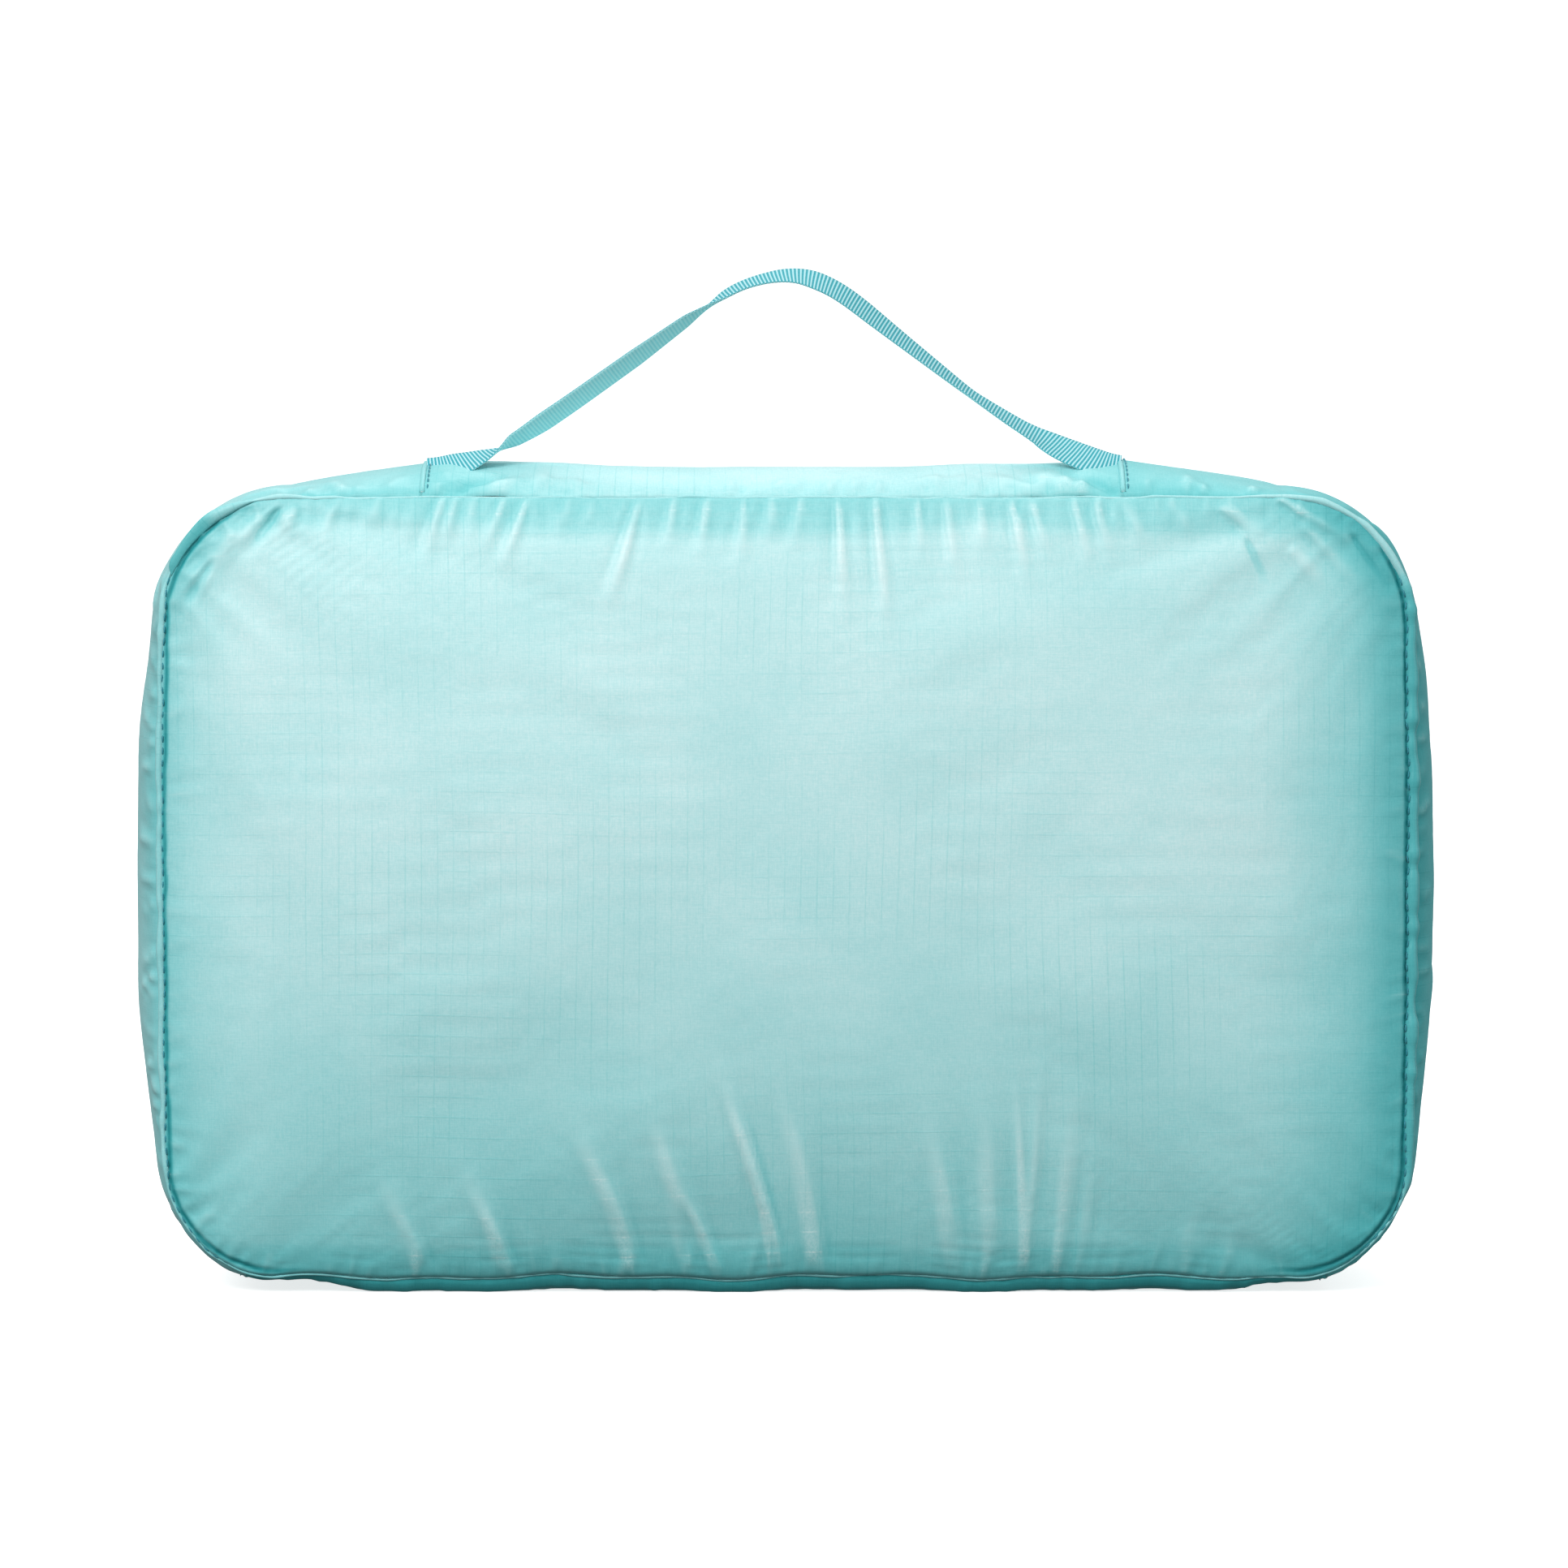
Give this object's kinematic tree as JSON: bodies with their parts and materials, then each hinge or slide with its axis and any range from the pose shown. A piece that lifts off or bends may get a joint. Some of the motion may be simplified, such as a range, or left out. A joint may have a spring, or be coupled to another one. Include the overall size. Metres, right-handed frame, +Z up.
{
  "type": "packing cube",
  "caption": "Soft ripstop packing cube with rounded corners, a webbing carry handle on top and a lid that zips open on three sides.",
  "frame": {"origin": "centre of the cube's box, on the surface that it stands on", "axes": "+X along the width, +Y from the back panel to the lid, +Z up to the handle"},
  "size_m": [0.28, 0.0832, 0.2199],
  "materials": {
    "ripstop": "thin translucent ripstop",
    "binding": "folded binding tape",
    "webbing": "ribbed webbing",
    "zip_tape": "woven tape",
    "zip_coil": "nylon coil",
    "zip_metal": "satin lacquer",
    "label": "blank satin ribbon"
  },
  "bodies": {
    "body": {"back_panel": "ripstop", "side_gusset_left": "ripstop", "side_gusset_right": "ripstop", "top_gusset": "ripstop", "base_gusset": "ripstop", "back_seam_binding": "binding", "base_seam_binding": "binding", "cross_seam_binding_left": "binding", "cross_seam_binding_right": "binding", "corner_seam_binding_left": "binding", "corner_seam_binding_right": "binding", "body_zip_tape": "zip_tape", "body_zip_coil": "zip_coil", "zip_end_stop_left": "zip_metal", "zip_end_stop_right": "zip_metal", "care_label": "label", "handle_end_left": "webbing", "handle_end_right": "webbing"},
    "lid": {"lid_panel": "ripstop", "lid_zip_tape": "zip_tape", "lid_zip_coil": "zip_coil", "lid_seam_binding": "binding"},
    "handle": {"handle_loop": "webbing"},
    "slider_left": {"slider_left": "zip_metal"},
    "slider_right": {"slider_right": "zip_metal"},
    "pull_left": {"pull_left": "zip_metal"},
    "pull_right": {"pull_right": "zip_metal"}
  },
  "joints": [
    {"name": "lid_hinge", "type": "hinge", "parent": "body", "child": "lid", "pos_m": [0, 0.03, 0.004], "axis": [-1, 0, 0], "range_deg": [0, 90]},
    {"name": "handle_swing", "type": "hinge", "parent": "body", "child": "handle", "pos_m": [0, -0.014, 0.184], "axis": [-1, 0, 0], "range_deg": [-80, 80]},
    {"name": "slider_left_slide", "type": "slide", "parent": "body", "child": "slider_left", "axis": [-1, 0, 0], "range_m": [0, 0.085]},
    {"name": "slider_right_slide", "type": "slide", "parent": "body", "child": "slider_right", "axis": [1, 0, 0], "range_m": [0, 0.085]},
    {"name": "pull_left_swing", "type": "hinge", "parent": "slider_left", "child": "pull_left", "pos_m": [-0.008, 0.022, 0.1732], "axis": [0, 1, 0], "range_deg": [0, 110]},
    {"name": "pull_right_swing", "type": "hinge", "parent": "slider_right", "child": "pull_right", "pos_m": [0.008, 0.022, 0.1732], "axis": [0, -1, 0], "range_deg": [0, 110]}
  ]
}
